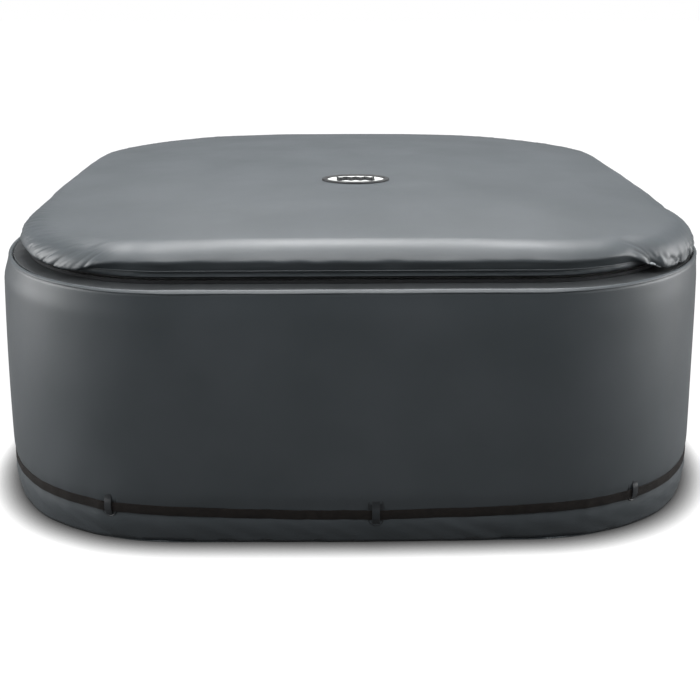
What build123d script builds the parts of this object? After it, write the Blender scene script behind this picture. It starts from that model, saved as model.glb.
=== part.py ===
"""Square spa cover: a padded wall sleeve, a zipped air-filled lid, and a belt round the foot.

Millimetres, +Z up, origin on the floor at the centre of the cover. The front faces -Y.
Every horizontal outline is a rounded square. They all share one set of corner centres, so
an outline is given by its half width alone. The wall leans out towards its foot, and the
half widths of its pieces are those at the rim.
"""
from build123d import *
from math import atan2, cos, degrees, pi, sin
import os

# ---- driving dimensions ----
WALL_HALF = 945          # half the outside width of the sleeve, at its rim
ARC_CENTRE = 445         # corner centres of the outlines, along X and Y
FOOT_FLARE = 20          # how much further out the wall stands at its foot
RIM_Z = 660              # top of the sleeve
SEAM_Z = 690             # seam between the lid's side band and its cushion
CROWN_Z = 775            # top of the lid's crown

SKIN = 1.5               # every fabric skin, tape and panel
LAYER_GAP = 0.6          # air between neighbouring layers
WALL_FOAM = 10.8

HEM_HEIGHT = 30
PIPING_HEIGHT = 9.4
PIPING_ROUNDING = 7

ROLL_HALF = 893          # widest line of the lid's rolled edge
ROLL_RADIUS = 38
ROLL_UNDER_RADIUS = 8
CROWN_SPHERE = 17800     # radius of the crown
SEAM_ALLOWANCE = 12
WEB_COUNT = 8
WEB_PITCH = 200

ZIP_HALF = 880           # inner face of both zip tapes
ZIP_Z = 668.5            # line between the two coil rows
COIL_GAP = 1.6
COIL_HEIGHT = 2.2
COIL_WIDTH = 3.0
TAPE_HIDDEN = 6.5        # part of the upper tape behind the side band
TAPE_SHOWN = 3.6

WEBBING_WIDTH = 25
WEBBING_THICKNESS = 1.6
BELT_Z = 90              # middle of the belt

KEEPER_WIDTH = 40
KEEPER_HEIGHT = 78
KEEPER_RISE = 9          # keeper's middle above the belt's
KEEPER_COUNT = 10
KEEPER_OFFSET = 54       # first keeper, round from the front centre
KEEPER_FRONT_PITCH = 666
BRIDGE_WIDTH = 19
BRIDGE_WALL = 2.0
BRIDGE_CLEARANCE = 2.0

BUCKLE_X = 200           # joint line of the buckle's two halves
BUCKLE_LENGTH = 40
BUCKLE_WIDTH = 36
BUCKLE_THICKNESS = 9
FREE_END_LENGTH = 190

SLIDER_PARK_Y = 340
SLIDER_LENGTH = 12
SLIDER_PLATE = 1.6
PULL_LENGTH = 34
PULL_HEIGHT = 8
PULL_THICKNESS = 1.8

BADGE_X, BADGE_Y = 18, -200
BADGE_WIDTH, BADGE_DEPTH = 202, 134
BADGE_RIM_WIDTH = 16
BADGE_RIM_HEIGHT = 5.0

VALVE_X, VALVE_Y = 330, 520
VALVE_RADIUS = 12
VALVE_BORE = 8.5

# ---- worked out ----
WALL_CORNER = WALL_HALF - ARC_CENTRE
WALL_LEAN = atan2(FOOT_FLARE, RIM_Z)
FOAM_OUTER = WALL_HALF - SKIN - LAYER_GAP
LINER_OUTER = FOAM_OUTER - WALL_FOAM - LAYER_GAP
CAVITY_HALF = LINER_OUTER - SKIN
WALL_BOTTOM = SKIN + LAYER_GAP
WALL_TOP = RIM_Z - PIPING_HEIGHT - LAYER_GAP
LEDGE_TOP = RIM_Z - 3

ZIP_OUTER = ZIP_HALF + SKIN
COIL_OUTER = ZIP_HALF + SKIN / 2 + COIL_WIDTH / 2
LOWER_COIL_TOP = ZIP_Z - COIL_GAP / 2
UPPER_COIL_BOTTOM = ZIP_Z + COIL_GAP / 2
UPPER_TAPE_BOTTOM = UPPER_COIL_BOTTOM + COIL_HEIGHT + LAYER_GAP
BAND_BOTTOM = UPPER_TAPE_BOTTOM + TAPE_SHOWN
BAND_INNER = ZIP_OUTER + LAYER_GAP
BAND_OUTER = BAND_INNER + SKIN
WELT_BOTTOM = SEAM_Z - LAYER_GAP - 2.8
WELT_TOP = SEAM_Z - LAYER_GAP
UNDERSIDE_HALF = BAND_INNER - LAYER_GAP

PATCH_INNER = WALL_HALF + LAYER_GAP
BELT_INNER = PATCH_INNER + SKIN + LAYER_GAP
BELT_OUTER = BELT_INNER + WEBBING_THICKNESS
KEEPER_Z = BELT_Z + KEEPER_RISE


def rounded_square(half, mode=Mode.ADD):
    """Rounded square drawn in the current sketch."""
    RectangleRounded(2 * half, 2 * half, half - ARC_CENTRE, mode=mode)


def ring(outer, inner, bottom, top):
    """Upright band between two rounded squares, added to the current part."""
    with BuildSketch(Plane.XY.offset(bottom)) as outline:
        rounded_square(outer)
        rounded_square(inner, Mode.SUBTRACT)
    extrude(outline.sketch, amount=top - bottom)


def flare(z):
    """How much further out the wall stands at height z than at its rim."""
    return FOOT_FLARE * (1 - z / RIM_Z)


def leaning_ring(outer, inner, bottom, top):
    """Band that leans out towards the foot with the wall, added to the current part."""
    for half, mode in ((outer, Mode.ADD), (inner, Mode.SUBTRACT)):
        with BuildSketch(Plane.XY.offset(bottom)) as outline:
            rounded_square(half + flare(bottom))
        extrude(outline.sketch, amount=top - bottom, taper=degrees(WALL_LEAN), mode=mode)


def cushion(inset):
    """Solid form of the lid's cushion, with every face drawn in by inset."""
    with BuildPart() as form:
        with BuildSketch(Plane.XY.offset(SEAM_Z + inset)):
            rounded_square(ROLL_HALF - inset)
        extrude(amount=CROWN_Z - SEAM_Z)
        with Locations((0, 0, CROWN_Z - CROWN_SPHERE)):
            Sphere(CROWN_SPHERE - inset, mode=Mode.INTERSECT)
        fillet(form.faces().sort_by(Axis.Z)[-1].edges(), ROLL_RADIUS - inset)
        fillet(form.faces().sort_by(Axis.Z)[0].edges(), ROLL_UNDER_RADIUS - inset)
    return form.part


def keeper_distances():
    """Distances of the belt keepers round the wall from the front centre."""
    round_trip = 8 * ARC_CENTRE + 2 * pi * WALL_CORNER
    rest = (round_trip - 2 * KEEPER_FRONT_PITCH) / (KEEPER_COUNT - 2)
    behind = [KEEPER_FRONT_PITCH + rest * k for k in range(1, KEEPER_COUNT - 2)]
    return [KEEPER_OFFSET + d for d in [-KEEPER_FRONT_PITCH, 0, KEEPER_FRONT_PITCH] + behind]


def wall_plane(distance):
    """Plane on the wall's outer face at keeper height: X runs along the wall, Z points out."""
    straight, bend = 2 * ARC_CENTRE, WALL_CORNER * pi / 2
    side, along = divmod(distance + ARC_CENTRE, straight + bend)
    angle = max(0, along - straight) / WALL_CORNER
    outward = Vector(sin(angle), -cos(angle), 0)
    centre = Vector(min(along, straight) - ARC_CENTRE, -ARC_CENTRE, KEEPER_Z)
    turn = 90 * side
    origin = (centre + outward * (WALL_CORNER + flare(KEEPER_Z))).rotate(Axis.Z, turn)
    outward = outward.rotate(Axis.Z, turn)
    up = Vector(0, 0, 1)
    return Plane(origin, x_dir=up.cross(outward), z_dir=outward * cos(WALL_LEAN) + up * sin(WALL_LEAN))


def finish(piece, label):
    """Labels a finished piece and writes its file."""
    piece.part.label = label
    export_step(piece.part, f"parts/{label}.step")


os.makedirs("parts", exist_ok=True)

# ---- wall of the sleeve ----
with BuildPart() as wall_outer_shell:
    leaning_ring(WALL_HALF, WALL_HALF - SKIN, WALL_BOTTOM, WALL_TOP)
finish(wall_outer_shell, "wall_outer_shell")

# The padding is four panels that meet at the middle of each corner.
foot_half = WALL_HALF + FOOT_FLARE
for name, turn in (("front", 0), ("right", 90), ("rear", 180), ("left", 270)):
    with BuildPart() as wall_foam:
        leaning_ring(FOAM_OUTER, FOAM_OUTER - WALL_FOAM, WALL_BOTTOM, WALL_TOP)
        with BuildSketch(Plane.XY.rotated((0, 0, turn))):
            with BuildLine():
                Polyline(
                    (0, -LAYER_GAP),
                    (-foot_half, -foot_half - LAYER_GAP),
                    (foot_half, -foot_half - LAYER_GAP),
                    close=True,
                )
            make_face()
        extrude(amount=RIM_Z, mode=Mode.INTERSECT)
    finish(wall_foam, f"wall_foam_{name}")

with BuildPart() as wall_foil_liner:
    leaning_ring(LINER_OUTER, CAVITY_HALF, WALL_BOTTOM, WALL_TOP)
finish(wall_foil_liner, "wall_foil_liner")

# The hem's strip closes the foot of the wall and turns up inside the liner.
with BuildPart() as hem_facing:
    leg_outer = CAVITY_HALF - LAYER_GAP
    ring(foot_half, leg_outer - SKIN + flare(SKIN), 0, SKIN)
    leaning_ring(leg_outer, leg_outer - SKIN, SKIN, HEM_HEIGHT)
finish(hem_facing, "hem_facing")

# ---- rim, ledge and the sleeve's half of the zip ----
with BuildPart() as rim_piping:
    ring(WALL_HALF, CAVITY_HALF, RIM_Z - PIPING_HEIGHT, RIM_Z)
    fillet(rim_piping.faces().sort_by(Axis.Z)[-1].edges(), PIPING_ROUNDING)
finish(rim_piping, "rim_piping")

with BuildPart() as rim_ledge:
    ring(CAVITY_HALF - LAYER_GAP, ZIP_HALF - LAYER_GAP, LEDGE_TOP - SKIN, LEDGE_TOP)
finish(rim_ledge, "rim_ledge")


def rear_gap():
    """Opens a ring of the zip across the rear, where the lid hinges."""
    with Locations((0, ROLL_HALF, ZIP_Z)):
        Box(2 * ARC_CENTRE, 100, 100, mode=Mode.SUBTRACT)


with BuildPart() as zip_tape_lower:
    ring(ZIP_OUTER, ZIP_HALF, LEDGE_TOP + LAYER_GAP, LOWER_COIL_TOP - COIL_HEIGHT - LAYER_GAP)
    rear_gap()
finish(zip_tape_lower, "zip_tape_lower")

with BuildPart() as zip_coil_lower:
    ring(COIL_OUTER, COIL_OUTER - COIL_WIDTH, LOWER_COIL_TOP - COIL_HEIGHT, LOWER_COIL_TOP)
    rear_gap()
finish(zip_coil_lower, "zip_coil_lower")

with BuildPart() as zip_end_stops:
    stop = 4
    with Locations(*[(side * (ARC_CENTRE - LAYER_GAP - stop / 2), ZIP_HALF + SKIN / 2,
                      LOWER_COIL_TOP - stop / 2) for side in (-1, 1)]):
        Box(stop, stop, stop)
finish(zip_end_stops, "zip_end_stops")

# ---- belt, keepers and buckle ----
with BuildPart() as belt_webbing:
    leaning_ring(BELT_OUTER, BELT_INNER, BELT_Z - WEBBING_WIDTH / 2, BELT_Z + WEBBING_WIDTH / 2)
finish(belt_webbing, "belt_webbing")

keeper_planes = [wall_plane(distance) for distance in keeper_distances()]

with BuildPart() as patch_outlines:
    with BuildSketch(*keeper_planes):
        SlotOverall(KEEPER_HEIGHT, KEEPER_WIDTH, rotation=90)
    extrude(amount=20, both=True)

with BuildPart() as belt_keeper_patches:
    leaning_ring(PATCH_INNER + SKIN, PATCH_INNER, KEEPER_Z - KEEPER_HEIGHT, KEEPER_Z + KEEPER_HEIGHT)
    add(patch_outlines.part, mode=Mode.INTERSECT)
finish(belt_keeper_patches, "belt_keeper_patches")

# Each bridge is a strap standing on its patch, arched over the belt.
with BuildPart() as belt_keeper_bridges:
    seat = PATCH_INNER + SKIN + 0.1 - WALL_HALF
    arch = BELT_OUTER + LAYER_GAP - WALL_HALF
    tunnel = WEBBING_WIDTH + 2 * BRIDGE_CLEARANCE
    foot = KEEPER_HEIGHT / 2 - 8
    for plane in keeper_planes:
        side_view = Plane(plane.origin, x_dir=plane.z_dir, z_dir=-plane.x_dir)
        with BuildSketch(side_view) as strap:
            with Locations(((seat + arch + BRIDGE_WALL) / 2, 0)):
                Rectangle(arch + BRIDGE_WALL - seat, 2 * foot)
            fillet(strap.vertices().group_by(Axis.X)[-1], 3)
            with Locations(((seat + arch) / 2, -KEEPER_RISE)):
                Rectangle(arch - seat, tunnel, mode=Mode.SUBTRACT)
        extrude(amount=BRIDGE_WIDTH / 2, both=True)
finish(belt_keeper_bridges, "belt_keeper_bridges")

# The buckle stands upright, clear of the belt where the wall leans out most.
buckle_inner = BELT_OUTER + LAYER_GAP + flare(BELT_Z - BUCKLE_WIDTH / 2)
buckle_y = buckle_inner + BUCKLE_THICKNESS / 2
pocket_width, pocket_height, pocket_depth = 26, 5, 27
with BuildPart() as buckle_female:
    with Locations((BUCKLE_X - BUCKLE_LENGTH / 2, buckle_y, BELT_Z)):
        Box(BUCKLE_LENGTH, BUCKLE_THICKNESS, BUCKLE_WIDTH)
    fillet(buckle_female.edges().filter_by(Axis.Y), 4)
    fillet(buckle_female.faces().sort_by(Axis.Y)[-1].edges(), 1.5)
    with Locations((BUCKLE_X - pocket_depth / 2, buckle_y, BELT_Z)):
        Box(pocket_depth, pocket_height, pocket_width, mode=Mode.SUBTRACT)
    with Locations((BUCKLE_X - 16, buckle_y, BELT_Z)):
        Box(12, pocket_height, BUCKLE_WIDTH, mode=Mode.SUBTRACT)
finish(buckle_female, "buckle_female")

base_length, base_gap, slot_depth = 16, 0.5, 8
base_start = BUCKLE_X + base_gap
arm_length, arm_width, arm_thickness = 24.5, 5, 4.2
with BuildPart() as buckle_male:
    with Locations((base_start + base_length / 2, buckle_y, BELT_Z)):
        Box(base_length, BUCKLE_THICKNESS, BUCKLE_WIDTH - 2)
    fillet(buckle_male.edges().filter_by(Axis.Y), 3)
    fillet(buckle_male.faces().sort_by(Axis.Y)[-1].edges(), 1.2)
    with Locations((base_start - arm_length / 2, buckle_y, BELT_Z)):
        with Locations(*[(0, 0, offset) for offset in (-9.5, 0, 9.5)]):
            Box(arm_length, arm_thickness, arm_width)
    with Locations((base_start + base_length - slot_depth / 2, buckle_inner + 2, BELT_Z)):
        Box(slot_depth, WEBBING_THICKNESS + 1.2, WEBBING_WIDTH + 2, mode=Mode.SUBTRACT)
finish(buckle_male, "buckle_male")

with BuildPart() as belt_free_end:
    with Locations((base_start + base_length - slot_depth + 1 + FREE_END_LENGTH / 2,
                    buckle_inner + 2, BELT_Z)):
        Box(FREE_END_LENGTH, WEBBING_THICKNESS, WEBBING_WIDTH)
finish(belt_free_end, "belt_free_end")

# ---- lid ----
outer_form = cushion(0)
inner_form = cushion(SKIN)
bladder_form = cushion(SKIN + LAYER_GAP)
bladder_inside = cushion(2 * SKIN + LAYER_GAP)
web_space = cushion(2 * SKIN + 2 * LAYER_GAP)

with BuildPart() as lid_top_panel:
    add(outer_form)
    add(inner_form, mode=Mode.SUBTRACT)
    with BuildSketch(Plane.XY.offset(SEAM_Z - 1)):
        rounded_square(UNDERSIDE_HALF - SEAM_ALLOWANCE)
    extrude(amount=SKIN + 2, mode=Mode.SUBTRACT)
finish(lid_top_panel, "lid_top_panel")

with BuildPart() as lid_side_band:
    ring(BAND_OUTER, BAND_INNER, BAND_BOTTOM, WELT_BOTTOM - LAYER_GAP)
finish(lid_side_band, "lid_side_band")

with BuildPart() as lid_seam_welt:
    ring(BAND_OUTER + 1, BAND_INNER, WELT_BOTTOM, WELT_TOP)
finish(lid_seam_welt, "lid_seam_welt")

with BuildPart() as lid_underside_panel:
    with BuildSketch(Plane.XY.offset(WELT_TOP - SKIN)):
        rounded_square(UNDERSIDE_HALF)
        with Locations((VALVE_X, VALVE_Y)):
            Circle(VALVE_RADIUS + 1, mode=Mode.SUBTRACT)
    extrude(amount=SKIN)
finish(lid_underside_panel, "lid_underside_panel")

with BuildPart() as lid_air_bladder:
    add(bladder_form)
    add(bladder_inside, mode=Mode.SUBTRACT)
    with Locations((VALVE_X, VALVE_Y, SEAM_Z)):
        Cylinder(VALVE_BORE, 4 * (SKIN + LAYER_GAP), mode=Mode.SUBTRACT)
finish(lid_air_bladder, "lid_air_bladder")

# Upright webs tie the bladder's top to its bottom, so it fills flat.
with BuildPart() as bladder_tie_webs:
    with Locations(*[(0, WEB_PITCH * (row - (WEB_COUNT - 1) / 2), CROWN_Z)
                     for row in range(WEB_COUNT)]):
        Box(1.5 * ROLL_HALF, SKIN, 4 * (CROWN_Z - SEAM_Z))
    add(web_space, mode=Mode.INTERSECT)
finish(bladder_tie_webs, "bladder_tie_webs")

with BuildPart() as zip_tape_upper:
    ring(ZIP_OUTER, ZIP_HALF, UPPER_TAPE_BOTTOM, BAND_BOTTOM + TAPE_HIDDEN)
    rear_gap()
finish(zip_tape_upper, "zip_tape_upper")

with BuildPart() as zip_coil_upper:
    ring(COIL_OUTER, COIL_OUTER - COIL_WIDTH, UPPER_COIL_BOTTOM, UPPER_COIL_BOTTOM + COIL_HEIGHT)
    rear_gap()
finish(zip_coil_upper, "zip_coil_upper")

# The hinge is a strip of fabric hanging from the side band across the rear.
with BuildPart() as lid_hinge_band:
    hinge_bottom = LEDGE_TOP + 3
    hinge_top = BAND_BOTTOM + TAPE_HIDDEN
    with Locations((0, ZIP_HALF + SKIN / 2, (hinge_bottom + hinge_top) / 2)):
        Box(2 * (ARC_CENTRE - 8), SKIN, hinge_top - hinge_bottom)
finish(lid_hinge_band, "lid_hinge_band")

# ---- badge on the crown ----
# The badge is flat and rests on the crown at its rear edge.
badge_rear = BADGE_Y + BADGE_DEPTH / 2
badge_bottom = CROWN_Z - badge_rear ** 2 / (2 * CROWN_SPHERE) + 0.3
field_half_width = BADGE_WIDTH / 2 - BADGE_RIM_WIDTH
field_half_depth = BADGE_DEPTH / 2 - BADGE_RIM_WIDTH
with BuildPart() as badge_rim:
    with BuildSketch(Plane((BADGE_X, BADGE_Y, badge_bottom))):
        Ellipse(BADGE_WIDTH / 2, BADGE_DEPTH / 2)
        Ellipse(field_half_width, field_half_depth, mode=Mode.SUBTRACT)
    extrude(amount=BADGE_RIM_HEIGHT)
    fillet(badge_rim.faces().sort_by(Axis.Z)[-1].edges(), 3.5)
finish(badge_rim, "badge_rim")

with BuildPart() as badge_field:
    with BuildSketch(Plane((BADGE_X, BADGE_Y, badge_bottom))):
        Ellipse(field_half_width - LAYER_GAP, field_half_depth - LAYER_GAP)
    extrude(amount=SKIN)
finish(badge_field, "badge_field")

# Three wave lines stand on the field.
wave_half_length, wave_height, wave_pitch, wave_width = 56, 5, 19, 6
with BuildPart() as badge_waves:
    for row in (-1, 0, 1):
        wave_y = BADGE_Y + row * wave_pitch
        with BuildLine() as wave_line:
            Spline([(BADGE_X + wave_half_length * step / 4,
                     wave_y + wave_height * (-1) ** step, badge_bottom + SKIN + 0.2)
                    for step in range(-4, 5)])
        with BuildSketch(Plane(wave_line.line @ 0, z_dir=wave_line.line % 0)):
            Rectangle(2 * 1.2, wave_width)
        sweep()
    split(bisect_by=Plane.XY.offset(badge_bottom + SKIN + 0.1), keep=Keep.TOP)
finish(badge_waves, "badge_waves")

# ---- bladder valve, under the lid ----
flange_bottom, flange_thickness = SEAM_Z + 0.1, 1.6
valve_bottom = SEAM_Z - 11
with BuildPart() as bladder_valve_body:
    for radius, bottom in ((VALVE_RADIUS, valve_bottom), (VALVE_RADIUS + 10, flange_bottom)):
        with BuildSketch(Plane((VALVE_X, VALVE_Y, bottom))):
            Circle(radius)
            Circle(VALVE_BORE, mode=Mode.SUBTRACT)
        extrude(amount=flange_bottom + flange_thickness - bottom)
finish(bladder_valve_body, "bladder_valve_body")

cap_thickness, cap_gap = 2.4, 0.4
plug_radius, plug_height = VALVE_BORE - 2, 3
with BuildPart() as bladder_valve_cap:
    with BuildSketch(Plane.XY.offset(valve_bottom - cap_gap - cap_thickness)):
        with Locations((VALVE_X, VALVE_Y)):
            Circle(VALVE_RADIUS + 1.5)
        with Locations((VALVE_X + VALVE_RADIUS + 1, VALVE_Y)):
            SlotOverall(14, 6)
    extrude(amount=cap_thickness)
    with BuildSketch(Plane.XY.offset(valve_bottom - cap_gap)):
        with Locations((VALVE_X, VALVE_Y)):
            Circle(plug_radius)
    extrude(amount=plug_height)
finish(bladder_valve_cap, "bladder_valve_cap")

# ---- zip sliders and pulls, one pair on each side ----
plate_height = 2 * (BAND_BOTTOM - 1 - ZIP_Z)
inner_plate_out = COIL_OUTER - COIL_WIDTH - LAYER_GAP
outer_plate_in = BAND_OUTER + LAYER_GAP
outer_plate_out = outer_plate_in + SLIDER_PLATE
pin_radius, eye_inner, eye_outer = 1.0, 1.3, 2.3
pin_x = outer_plate_out + LAYER_GAP + eye_outer
lug_height = (plate_height - PULL_HEIGHT) / 2 - 0.5
for name, side in (("right", 1), ("left", -1)):
    with BuildPart() as zip_slider:
        with Locations((side * (inner_plate_out - SLIDER_PLATE / 2), SLIDER_PARK_Y, ZIP_Z),
                       (side * (outer_plate_in + SLIDER_PLATE / 2), SLIDER_PARK_Y, ZIP_Z)):
            Box(SLIDER_PLATE, SLIDER_LENGTH, plate_height)
        post_height = COIL_GAP / 2
        post_in = inner_plate_out - SLIDER_PLATE / 2
        post_out = outer_plate_in + SLIDER_PLATE / 2
        with Locations((side * (post_in + post_out) / 2, SLIDER_PARK_Y - SLIDER_LENGTH / 2 + 2, ZIP_Z)):
            Box(post_out - post_in, 4, post_height)
        for end in (-1, 1):
            lug_z = ZIP_Z + end * (plate_height - lug_height) / 2
            with Locations((side * (outer_plate_out + pin_x + 1.6) / 2, SLIDER_PARK_Y, lug_z)):
                Box(pin_x + 1.6 - outer_plate_out, 3.6, lug_height)
        with Locations((side * pin_x, SLIDER_PARK_Y, ZIP_Z)):
            Cylinder(pin_radius, plate_height)
    finish(zip_slider, f"zip_slider_{name}")

    with BuildPart() as zip_pull:
        with BuildSketch(Plane.XY.offset(ZIP_Z - PULL_HEIGHT / 2)):
            with Locations((side * pin_x, SLIDER_PARK_Y)):
                Circle(eye_outer)
            with Locations((side * pin_x, SLIDER_PARK_Y + (PULL_LENGTH + 1.5) / 2)):
                Rectangle(PULL_THICKNESS, PULL_LENGTH - 1.5)
            with Locations((side * pin_x, SLIDER_PARK_Y)):
                Circle(eye_inner, mode=Mode.SUBTRACT)
        extrude(amount=PULL_HEIGHT)
    finish(zip_pull, f"zip_pull_{name}")
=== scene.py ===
"""Looks of the square spa cover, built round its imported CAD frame.

Metres, +Z up, the front faces -Y. Every horizontal outline is a rounded square drawn as
core + reach * outward: the core is a square whose corners are the centres of the outline's
rounded corners. An outline is given by its half width, which may vary round the cover.
"""
import math
import bpy
import numpy as np
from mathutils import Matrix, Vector


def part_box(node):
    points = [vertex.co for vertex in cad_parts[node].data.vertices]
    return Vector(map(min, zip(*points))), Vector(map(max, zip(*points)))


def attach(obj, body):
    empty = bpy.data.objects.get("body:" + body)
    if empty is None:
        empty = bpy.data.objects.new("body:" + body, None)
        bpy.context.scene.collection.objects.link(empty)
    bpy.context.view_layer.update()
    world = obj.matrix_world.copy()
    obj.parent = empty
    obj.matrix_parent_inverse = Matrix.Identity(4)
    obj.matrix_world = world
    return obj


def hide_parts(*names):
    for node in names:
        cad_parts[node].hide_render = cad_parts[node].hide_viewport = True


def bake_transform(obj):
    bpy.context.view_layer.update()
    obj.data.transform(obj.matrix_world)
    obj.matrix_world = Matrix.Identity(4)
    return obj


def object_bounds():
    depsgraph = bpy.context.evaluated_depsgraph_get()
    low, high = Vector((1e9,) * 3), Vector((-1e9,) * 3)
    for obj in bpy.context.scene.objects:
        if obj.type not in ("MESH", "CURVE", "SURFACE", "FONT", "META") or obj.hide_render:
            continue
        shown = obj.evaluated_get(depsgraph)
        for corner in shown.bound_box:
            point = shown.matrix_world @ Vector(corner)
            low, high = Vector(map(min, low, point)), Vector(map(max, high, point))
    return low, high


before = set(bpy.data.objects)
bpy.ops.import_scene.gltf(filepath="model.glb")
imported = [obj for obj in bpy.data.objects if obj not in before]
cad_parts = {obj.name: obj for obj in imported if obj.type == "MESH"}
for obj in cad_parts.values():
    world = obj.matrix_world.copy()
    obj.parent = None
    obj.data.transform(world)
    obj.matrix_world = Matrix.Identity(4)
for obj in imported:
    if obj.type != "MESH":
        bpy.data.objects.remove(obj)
cad_low, cad_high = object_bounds()

# ---- sizes, most from the frame ----
CORE = 0.445              # half side of the square that every rounded corner is centred on
CROWN_SPHERE = 17.8       # radius of the lid's crown
SKIN = 0.0015             # thickness of the coated cloth
STRAP_THICKNESS = 0.0016
rim_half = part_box("rim_piping")[1].x
rim_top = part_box("rim_piping")[1].z
foot_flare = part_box("hem_facing")[1].x - rim_half
wall_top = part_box("wall_outer_shell")[1].z
ledge_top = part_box("rim_ledge")[1].z
roll_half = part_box("lid_top_panel")[1].x
seam_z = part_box("lid_top_panel")[0].z
crown_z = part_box("lid_top_panel")[1].z
band_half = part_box("lid_side_band")[1].x
band_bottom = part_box("lid_side_band")[0].z
tape_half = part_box("zip_tape_upper")[1].x
liner_low, liner_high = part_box("wall_foil_liner")
underside_low, underside_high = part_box("lid_underside_panel")
belt_low, belt_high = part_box("belt_webbing")
belt_z = (belt_low.z + belt_high.z) / 2
belt_width = belt_high.z - belt_low.z
keeper_low, keeper_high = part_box("belt_keeper_patches")
keeper_z = (keeper_low.z + keeper_high.z) / 2
keeper_height = keeper_high.z - keeper_low.z


# ---- stations round the outlines ----
def turned(points, quarter):
    """Points in plan turned by quarters of a turn, counter-clockwise."""
    angle = quarter * math.pi / 2
    c, s = np.cos(angle), np.sin(angle)
    return np.stack([points[:, 0] * c - points[:, 1] * s, points[:, 0] * s + points[:, 1] * c], 1)


def round_the(reach, distance):
    """Core points, outward directions and along directions at distances from the front centre."""
    distance = np.atleast_1d(np.asarray(distance, float))
    straight, bend = 2 * CORE, reach * math.pi / 2
    side, along = np.divmod(distance + CORE, straight + bend)
    angle = np.maximum(0, along - straight) / reach
    core = np.stack([np.minimum(along, straight) - CORE, np.full_like(along, -CORE)], 1)
    out = np.stack([np.sin(angle), -np.cos(angle)], 1)
    core, out = turned(core, side), turned(out, side)
    return core, out, np.stack([-out[:, 1], out[:, 0]], 1)


def points_at(core, out, half, z):
    """Points over core points, at one half width and height or at one of each for each point."""
    reach = np.broadcast_to(half, (len(core),)) - CORE
    return np.column_stack([core + out * reach[:, None], np.broadcast_to(z, (len(core),))])


class Stations:
    """Points round every outline, evenly spaced on one of the given half width."""

    def __init__(self, half, per_side, per_corner):
        self.reach = half - CORE
        bend = self.reach * math.pi / 2
        side = np.arange(per_side) / per_side * 2 * CORE
        corner = 2 * CORE + np.arange(per_corner) / per_corner * bend
        quarter = np.concatenate([side, corner])
        self.distance = np.concatenate([quarter + k * (2 * CORE + bend) for k in range(4)]) - CORE
        self.length = 4 * (2 * CORE + bend)
        self.count = len(self.distance)
        self.phase = math.tau * self.distance / self.length
        self.core, self.out, _ = round_the(self.reach, self.distance)
        # 0 along the straights and 1 at the middle of each corner
        angle = np.arctan2(self.out[:, 1], self.out[:, 0])
        self.corner = sum(self.corner_share(angle, middle) for middle in (-45, 45, 135, 225))

    @staticmethod
    def corner_share(angle, middle):
        """1 where the outward angle is the middle's, in degrees, falling to 0 at 45 degrees from it."""
        away = (angle - math.radians(middle) + math.pi) % (math.tau) - math.pi
        return np.cos(np.clip(2 * away, -math.pi / 2, math.pi / 2)) ** 0.8

    def ring(self, half, z):
        """Outline of the given half width at height z; both may vary from station to station."""
        return points_at(self.core, self.out, half, z)


def soft_waves(phase, seed, orders, size):
    """Smooth closed undulation: sines of random size and shift, with the given wave counts."""
    random = np.random.RandomState(seed)
    total = np.zeros_like(phase)
    for order in orders:
        total += random.uniform(0.4, 1.0) * np.sin(order * phase + random.uniform(0, math.tau))
    return size * total / math.sqrt(len(orders))


def smooth_step(value, low, high):
    """0 up to low, 1 from high on, and an eased rise between them."""
    share = np.clip((value - low) / (high - low), 0, 1)
    return share * share * (3 - 2 * share)


def bump_at(value, centre, width):
    """1 at the centre, falling off to 0 about twice the width away."""
    return np.exp(-((value - centre) / width) ** 2)


def along_knots(stations, knots, soft=0.035):
    """Value round the outline from (distance from the front centre, value) knots, smoothed."""
    places, values = np.array(sorted((d % stations.length, v) for d, v in knots)).T
    fine = np.linspace(0, stations.length, 2048, endpoint=False)
    track = np.interp(fine, places, values, period=stations.length)
    away = np.minimum(fine, stations.length - fine)
    kernel = np.exp(-(away / soft) ** 2 / 2)
    track = np.real(np.fft.ifft(np.fft.fft(track) * np.fft.fft(kernel / kernel.sum())))
    return np.interp(stations.distance, fine, track, period=stations.length)


def patchy(u, v, seed, cell_u, cell_v, length):
    """Smooth random field from -1 to 1 over (u, v), with a period of length along u."""
    columns = max(4, int(round(length / cell_u)))
    rows = int(np.max(v) / cell_v) + 4
    grid = np.random.RandomState(seed).uniform(-1, 1, (rows, columns))
    a, b = (u / length * columns) % columns, v / cell_v + 1
    i, j = np.floor(a).astype(int), np.floor(b).astype(int)
    x, y = a - i, b - j
    x, y = x * x * (3 - 2 * x), y * y * (3 - 2 * y)
    i, j = i % columns, np.clip(j, 0, rows - 2)
    right = (i + 1) % columns
    return ((grid[j, i] * (1 - x) + grid[j, right] * x) * (1 - y)
            + (grid[j + 1, i] * (1 - x) + grid[j + 1, right] * x) * y)


# ---- mesh makers ----
def added(name, data):
    """New object in the scene."""
    thing = bpy.data.objects.new(name, data)
    bpy.context.scene.collection.objects.link(thing)
    return thing


def mesh_object(name, points, faces, material, uvs=None):
    mesh = bpy.data.meshes.new(name)
    mesh.from_pydata([tuple(p) for p in points], [], [tuple(int(i) for i in f) for f in faces])
    mesh.materials.append(material)
    mesh.polygons.foreach_set("use_smooth", [True] * len(mesh.polygons))
    if uvs is not None:
        layer = mesh.uv_layers.new(name="UVMap")
        layer.data.foreach_set("uv", np.asarray(uvs, np.float32).ravel())
    mesh.validate()
    mesh.update()
    return added(name, mesh)


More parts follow.
